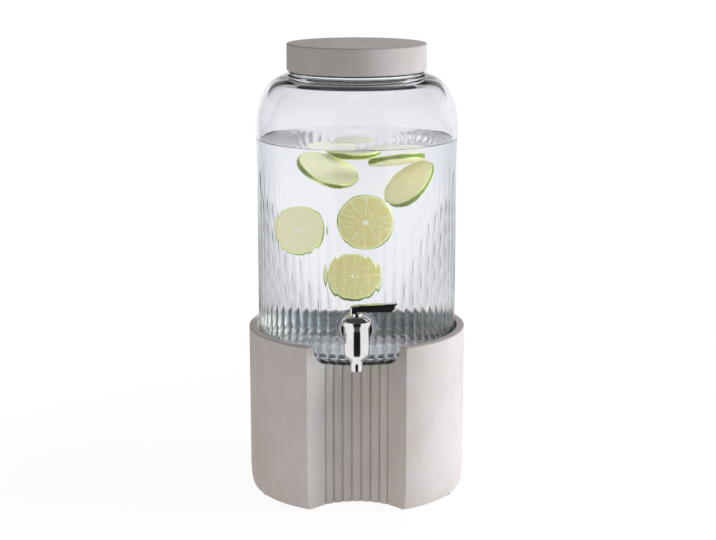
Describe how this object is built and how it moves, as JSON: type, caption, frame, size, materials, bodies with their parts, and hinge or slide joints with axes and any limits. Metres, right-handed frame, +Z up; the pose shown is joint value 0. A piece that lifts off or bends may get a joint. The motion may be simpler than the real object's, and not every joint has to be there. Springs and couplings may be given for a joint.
{
  "type": "drinks dispenser",
  "caption": "Ribbed glass drinks jar with a quarter-turn lever tap and a round lid, standing in the socket of a fluted concrete pedestal.",
  "frame": {"origin": "on the floor, in the middle of the whole object's outline from above", "axes": "+Z up, -Y towards the tap, +X to the right of someone who faces the tap"},
  "size_m": [0.22, 0.252, 0.4552],
  "materials": {
    "concrete": "smooth cast concrete, matt",
    "glass": "clear pressed glass, ribbed",
    "steel": "mirror-polished stainless steel",
    "silicone": "translucent silicone, satin",
    "rubber": "black rubber, matt"
  },
  "bodies": {
    "stand": {"pedestal": "concrete", "foot_front_left": "rubber", "foot_front_right": "rubber", "foot_rear_left": "rubber", "foot_rear_right": "rubber"},
    "vessel": {"jar": "glass", "tap_body": "steel", "outer_gasket": "silicone", "inner_gasket": "silicone", "tap_washer": "steel", "tap_nut": "steel", "valve_sleeve": "silicone", "bonnet": "steel"},
    "cover": {"lid": "concrete", "lid_seal": "silicone"},
    "valve": {"valve_plug": "steel", "stem_seal": "silicone", "lever": "steel", "lever_screw": "steel"}
  },
  "joints": [
    {"name": "jar_lift", "type": "slide", "parent": "stand", "child": "vessel", "axis": [0, 0, 1], "range_m": [0, 0.05]},
    {"name": "lid_lift", "type": "slide", "parent": "vessel", "child": "cover", "axis": [0, 0, 1], "range_m": [0, 0.06]},
    {"name": "tap_turn", "type": "hinge", "parent": "vessel", "child": "valve", "pos_m": [0, -0.11195, 0.18955], "axis": [0, 0, -1], "range_deg": [0, 90]}
  ]
}
